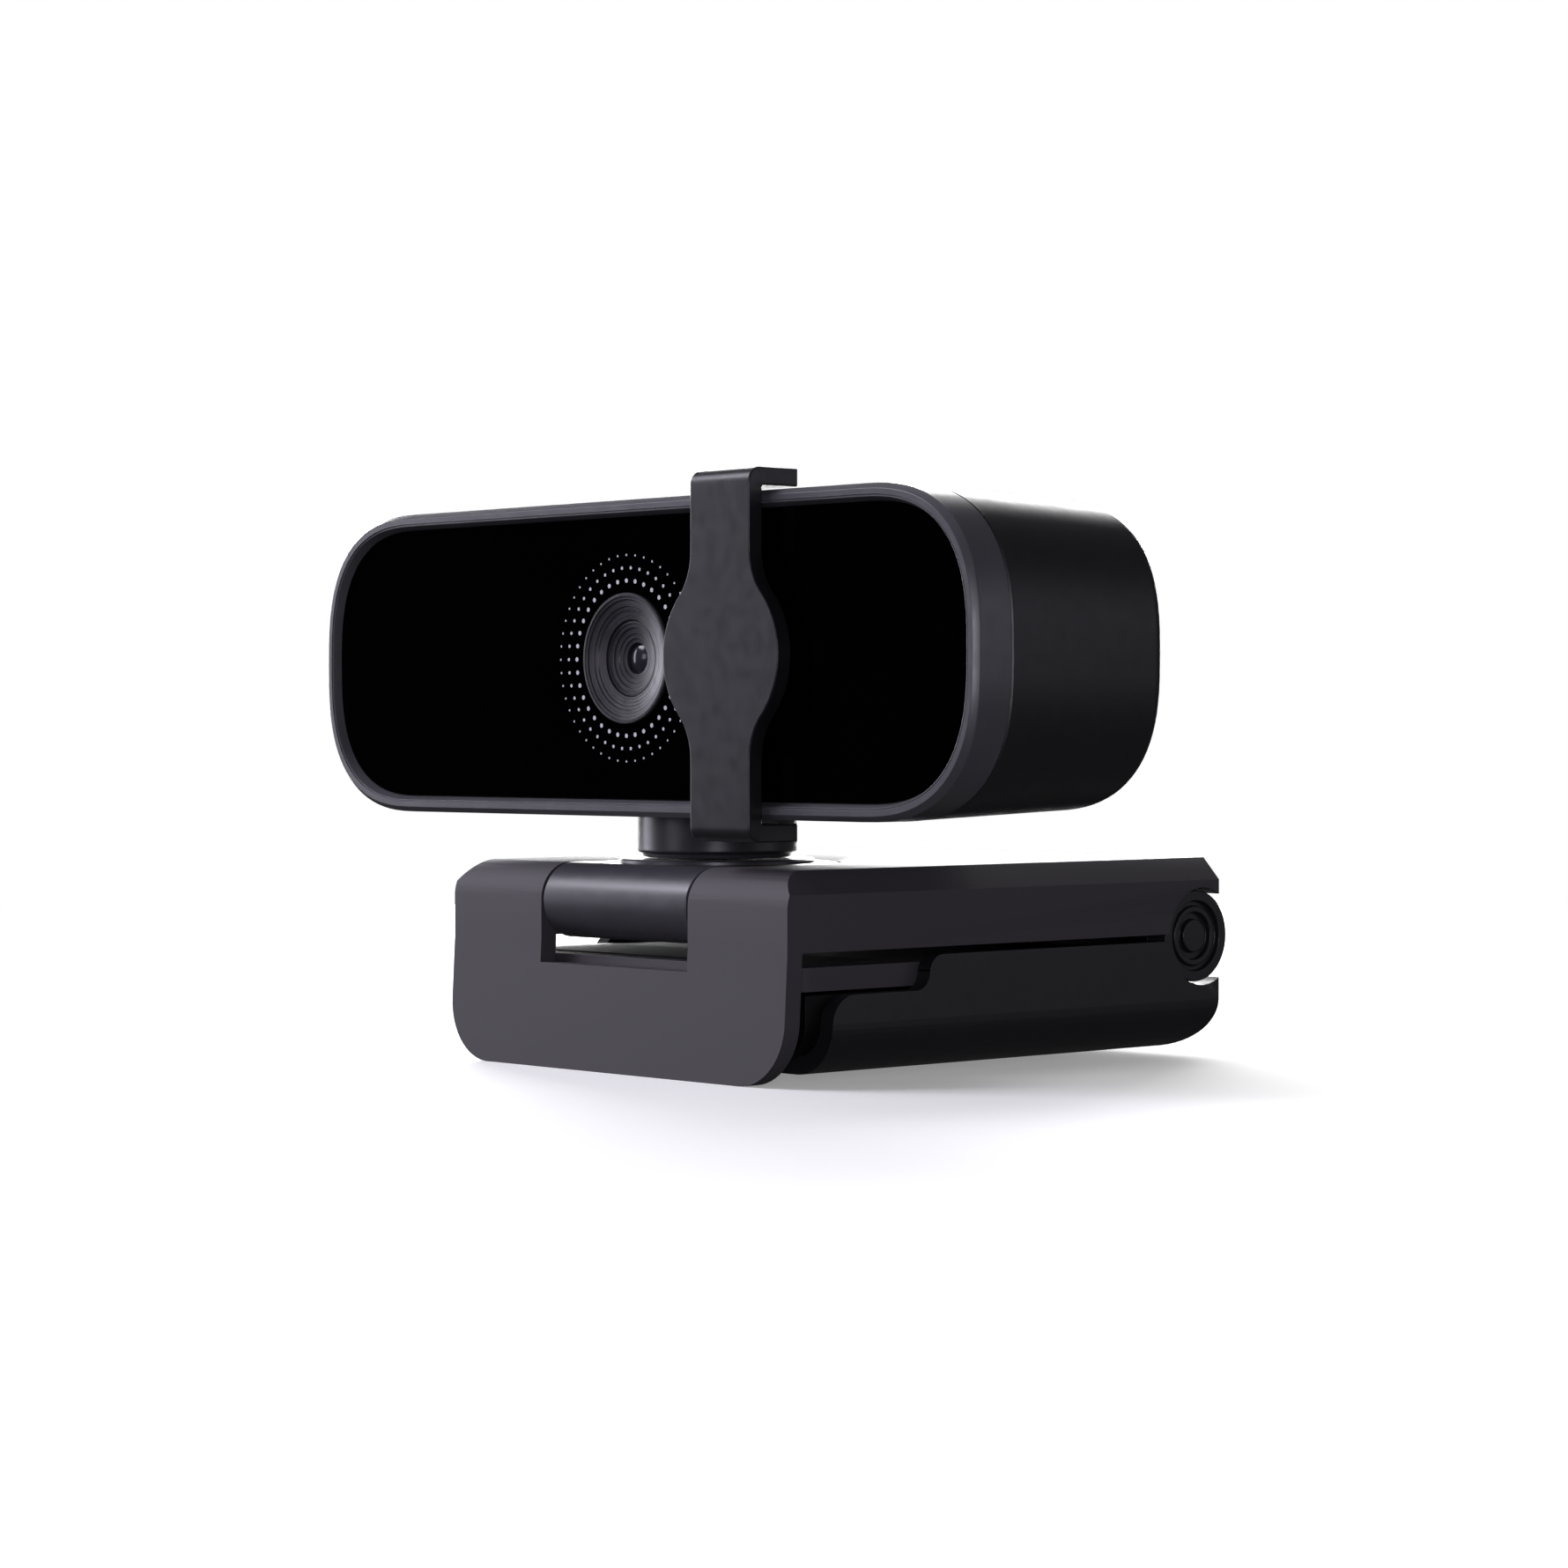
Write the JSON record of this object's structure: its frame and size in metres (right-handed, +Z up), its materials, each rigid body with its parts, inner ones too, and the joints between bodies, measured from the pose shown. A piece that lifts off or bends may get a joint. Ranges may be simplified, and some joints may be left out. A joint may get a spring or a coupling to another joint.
{
  "type": "webcam",
  "caption": "Webcam with a wide rounded head, sliding lens shutter and swivelling neck on a folding monitor clip with a fold-out foot and a tripod socket.",
  "frame": {"origin": "middle of the footprint, level with the lower edge of the clip's front lip", "axes": "+X along the head to the right as seen from the front, +Y away from the viewer towards the clip's rear hinge, +Z up"},
  "size_m": [0.092, 0.0604, 0.0548],
  "materials": {
    "rim_plastic": "satin moulded",
    "front_glass": "high gloss black",
    "lens_trim": "satin",
    "lens_glass": "coated lens",
    "inner_plastic": "matt black",
    "chip": "moulded epoxy",
    "circuit_board": "solder mask",
    "connector_plastic": "natural nylon",
    "steel": "plated",
    "dark_screw": "black zinc",
    "black_rubber": "matt",
    "aluminium": "plain",
    "shell_plastic": "satin fine texture",
    "shutter_plastic": "satin",
    "neck_plastic": "satin",
    "clip_plastic": "satin fine texture",
    "cap_plastic": "satin",
    "brass": "turned"
  },
  "bodies": {
    "clip": {"clip_body": "clip_plastic", "clip_cover": "inner_plastic", "cover_screws": "dark_screw", "lip_pad": "black_rubber", "jaw_pad": "black_rubber", "tilt_pin": "steel", "hinge_pin": "steel", "hinge_caps": "cap_plastic"},
    "leaf": {"tilt_leaf": "clip_plastic", "tilt_sleeve": "steel", "swivel_ring": "shell_plastic"},
    "head": {"front_bezel": "rim_plastic", "front_glass": "front_glass", "glass_tape": "black_rubber", "lens_surround": "lens_trim", "lens_barrel": "lens_trim", "lens_retainer": "lens_trim", "lens_front_element": "lens_glass", "lens_rear_element": "lens_glass", "infrared_filter": "lens_glass", "lens_holder": "inner_plastic", "image_sensor": "chip", "main_board": "circuit_board", "video_chip": "chip", "cable_connector": "connector_plastic", "microphones": "steel", "microphone_boots": "black_rubber", "heat_plate": "aluminium", "board_screws": "steel", "rear_shell": "shell_plastic", "shell_screws": "dark_screw", "cable_gland": "black_rubber", "neck": "neck_plastic", "neck_screws": "steel", "swivel_spring": "steel", "swivel_screw": "steel"},
    "shutter": {"shutter": "shutter_plastic"},
    "arm": {"arm_shell": "shell_plastic", "arm_core": "inner_plastic", "tripod_insert": "brass", "arm_screws": "dark_screw", "hinge_sleeve": "steel", "foot_pin": "steel"},
    "foot": {"foot_plate": "clip_plastic", "foot_pad": "black_rubber"}
  },
  "joints": [
    {"name": "leaf_tilt", "type": "hinge", "parent": "clip", "child": "leaf", "pos_m": [0, -0.02553, 0.0156], "axis": [1, 0, 0], "range_deg": [0, 45]},
    {"name": "head_pan", "type": "hinge", "parent": "leaf", "child": "head", "pos_m": [0, -0.01622, 0.01915], "axis": [0, 0, 1], "range_deg": [-180, 180]},
    {"name": "shutter_slide", "type": "slide", "parent": "head", "child": "shutter", "axis": [1, 0, 0], "range_m": [-0.016, 0.012]},
    {"name": "arm_fold", "type": "hinge", "parent": "clip", "child": "arm", "pos_m": [0, 0.02577, 0.01157], "axis": [1, 0, 0], "range_deg": [0, 110]},
    {"name": "foot_fold", "type": "hinge", "parent": "arm", "child": "foot", "pos_m": [0, 0.00962, 0.00842], "axis": [1, 0, 0], "range_deg": [-88, 0]}
  ],
  "couplings": [
    {"joint": "foot_fold", "follows": "arm_fold", "ratio": -0.8}
  ]
}
